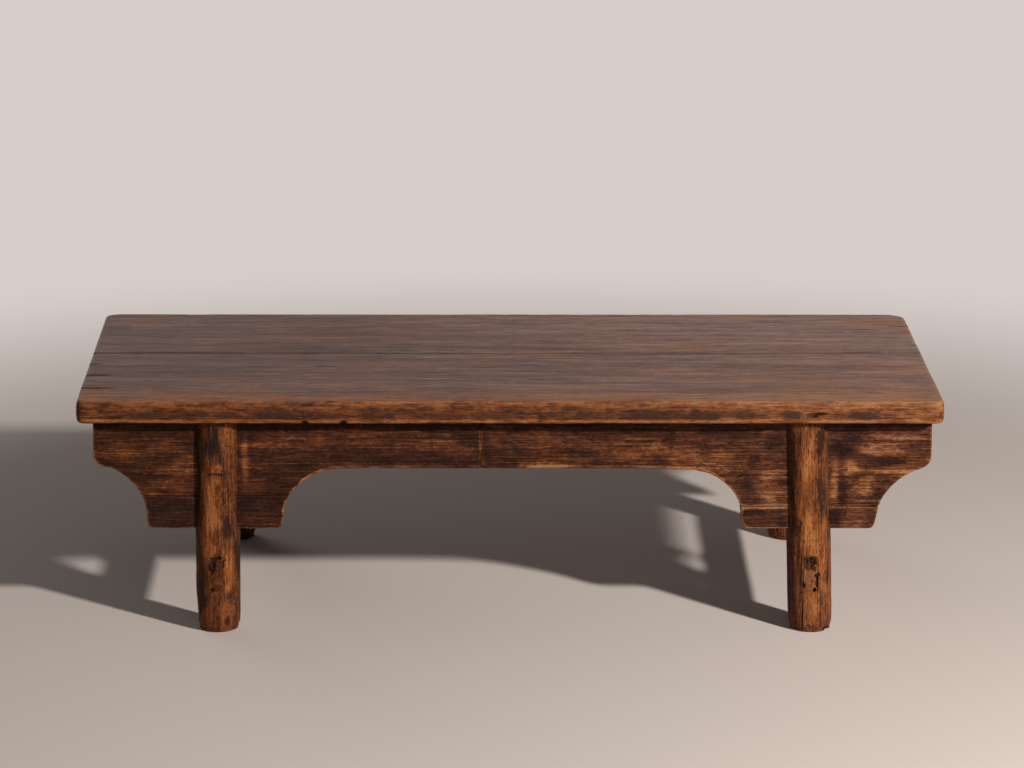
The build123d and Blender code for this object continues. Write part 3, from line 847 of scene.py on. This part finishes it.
left_leg_wear = [
    ((-0.400, -0.2650, 0.284), (0.014, 0.02, 0.030), 0.08),
    ((-0.414, -0.2670, 0.2375), (0.012, 0.02, 0.009), 0.30),
    ((-0.418, -0.2680, 0.220), (0.014, 0.02, 0.012), 0.30),
    ((-0.424, -0.2700, 0.185), (0.016, 0.02, 0.070), 0.48),
    ((-0.428, -0.2720, 0.130), (0.016, 0.02, 0.034), 0.40),
    ((-0.399, -0.2720, 0.088), (0.010, 0.02, 0.044), 0.56),
    ((-0.400, -0.2720, 0.030), (0.014, 0.02, 0.030), 0.18),
]
left_leg_stain_and_shade = [
    ((-0.420, -0.2650, 0.272), (0.018, 0.02, 0.030), 0.60),
    ((-0.4245, -0.2650, 0.2300), (0.006, 0.02, 0.008), 0.74),
    ((-0.390, -0.2600, 0.205), (0.010, 0.02, 0.062), 0.44),
    ((-0.401, -0.2680, 0.155), (0.009, 0.02, 0.024), 0.62),
    ((-0.384, -0.2600, 0.110), (0.009, 0.03, 0.050), 0.62),
    # a dark strip down the left flank: partly dark crust, partly painted shade on the side away from the
    # key light
    ((-0.446, -0.2500, 0.200), (0.013, 0.03, 0.150), 0.76),
    ((-0.434, -0.2680, 0.185), (0.004, 0.02, 0.040), 0.50),
    ((-0.436, -0.2600, 0.055), (0.012, 0.03, 0.045), 0.58),
    ((-0.396, -0.2740, 0.050), (0.005, 0.02, 0.016), 0.62),
]
right_leg_wear = [
    ((0.420, -0.2650, 0.250), (0.013, 0.02, 0.060), 0.22),
    ((0.424, -0.2700, 0.160), (0.016, 0.02, 0.065), 0.27),
    ((0.440, -0.2650, 0.110), (0.012, 0.03, 0.080), 0.20),
    ((0.422, -0.2750, 0.040), (0.024, 0.03, 0.050), 0.16),
]
right_leg_stain_and_shade = [
    # the upper left flank: partly dark crust, partly painted shade
    ((0.399, -0.2600, 0.235), (0.011, 0.02, 0.075), 0.57),
    ((0.407, -0.2680, 0.150), (0.011, 0.02, 0.024), 0.62),
    ((0.436, -0.2600, 0.275), (0.011, 0.02, 0.040), 0.55),
    ((0.441, -0.2650, 0.190), (0.008, 0.02, 0.050), 0.48),
    # the lower left flank: partly dark crust, partly painted shade
    ((0.398, -0.2550, 0.100), (0.008, 0.03, 0.090), 0.48),
]

front_leg_voxel = 0.0013 if fine else 0.0022
rear_leg_voxel = 0.0020 if fine else 0.0035
for node, board, voxel, marks, patches, stains in (
    ("front_left_leg", 14.0, front_leg_voxel, left_leg_marks, left_leg_wear, left_leg_stain_and_shade),
    ("front_right_leg", 15.0, front_leg_voxel, right_leg_marks, right_leg_wear, right_leg_stain_and_shade),
    ("rear_left_leg", 16.0, rear_leg_voxel, (), (), ()),
    ("rear_right_leg", 17.0, rear_leg_voxel, (), (), ()),
):
    leg = dense_copy(node, voxel, 2)
    points, _, _, dark = wear_away(leg, node, leg_depth, marks)
    masks = leg_masks(points, dark, board, patches, stains)
    place_piece(leg, node, leg_paint, masks)


# ------------------------------------------------------------------ floor, light and camera
BACKDROP = tint(215, 206, 202)
AMBIENT = 0.075
FLOOR_HALF = 200.0

floor_mesh = bpy.data.meshes.new("floor")
floor_mesh.from_pydata(
    [(x * FLOOR_HALF, y * FLOOR_HALF, 0) for x, y in ((-1, -1), (1, -1), (1, 1), (-1, 1))],
    [], [(0, 1, 2, 3)],
)
floor = bpy.data.objects.new("floor", floor_mesh)
bpy.context.scene.collection.objects.link(floor)


def floor_finish():
    """Pale and matt. Far from the table it takes the plain background colour."""
    paint = Paint("pale_floor")
    paint.shader.inputs["Base Color"].default_value = tint(210, 199, 191)
    paint.shader.inputs["Roughness"].default_value = 0.8
    paint.shader.inputs["Specular IOR Level"].default_value = 0.2
    backdrop = paint.nodes.new("ShaderNodeEmission")
    backdrop.inputs["Color"].default_value = BACKDROP
    length = paint.nodes.new("ShaderNodeVectorMath")
    length.operation = "LENGTH"
    paint.feed(length.inputs[0], paint.place)
    far = paint.steps(length.outputs["Value"], 1.0, 2.3)
    rays = paint.nodes.new("ShaderNodeLightPath").outputs
    seen = paint.math("MAXIMUM", rays["Is Camera Ray"], rays["Is Glossy Ray"])
    seen = paint.math("MAXIMUM", seen, rays["Is Transmission Ray"])
    blend = paint.nodes.new("ShaderNodeMixShader")
    paint.feed(blend.inputs[0], paint.math("MULTIPLY", far, seen))
    paint.feed(blend.inputs[1], paint.shader.outputs["BSDF"])
    paint.feed(blend.inputs[2], backdrop.outputs["Emission"])
    paint.feed(paint.nodes["Material Output"].inputs["Surface"], blend.outputs["Shader"])
    return paint.material


floor_mesh.materials.append(floor_finish())

world = bpy.data.worlds.new("studio")
bpy.context.scene.world = world
world.use_nodes = True


def background(world, colour, ambient):
    """The plain background colour where it is seen or mirrored, and a weaker light elsewhere."""
    tree = world.node_tree
    sky = tree.nodes["Background"]
    sky.inputs["Color"].default_value = colour
    rays = tree.nodes.new("ShaderNodeLightPath").outputs
    strength = ambient
    for ray in ("Is Camera Ray", "Is Glossy Ray", "Is Transmission Ray"):
        highest = tree.nodes.new("ShaderNodeMath")
        highest.operation = "MAXIMUM"
        feed(tree.links, highest.inputs[0], rays[ray])
        feed(tree.links, highest.inputs[1], strength)
        strength = highest.outputs["Value"]
    tree.links.new(strength, sky.inputs["Strength"])


background(world, BACKDROP, AMBIENT)


def lamp(name, place, target, size, power, colour):
    """A square soft light, with its size in metres and its power in watts."""
    data = bpy.data.lights.new(name, "AREA")
    data.size = size
    data.energy = power
    data.color = colour
    obj = bpy.data.objects.new(name, data)
    bpy.context.scene.collection.objects.link(obj)
    obj.location = place
    obj.rotation_euler = (Vector(target) - Vector(place)).to_track_quat("-Z", "Y").to_euler()


lamp("key_light", (3.14, -3.35, 2.23), (0.2, -0.1, 0.2), 0.26, 335.0, (1.0, 0.965, 0.93))
lamp("fill_light", (0.6, -4.8, 2.6), (0.0, 0.0, 0.2), 2.2, 12.0, (0.95, 0.97, 1.0))
lamp("back_light", (-2.8, 3.8, 1.5), (0.0, 0.0, 0.2), 2.4, 40.0, (1.0, 0.97, 0.94))

# The camera fits the photograph. Its place, turn and focal length, in pixels of the photograph,
# were worked out from the legs, the upright lines and the cast shadows.
IMAGE_WIDTH = 1024
FOCAL_PIXELS = 4588

camera = bpy.data.objects.new("camera", bpy.data.cameras.new("camera"))
bpy.context.scene.collection.objects.link(camera)
bpy.context.scene.camera = camera
camera.data.sensor_width = 36.0
camera.data.lens = camera.data.sensor_width * FOCAL_PIXELS / IMAGE_WIDTH
camera.data.clip_end = 100.0
right = Vector((0.99996, -0.00847, 0.00231)).normalized()
forward = Vector((0.00878, 0.97233, -0.23345)).normalized()
up = right.cross(forward).normalized()
right = forward.cross(up)
turn = Matrix((right, up, -forward)).transposed().to_4x4()
camera.matrix_world = Matrix.Translation((-0.0545, -6.5276, 1.8647)) @ turn

bpy.context.scene.view_settings.view_transform = "Standard"
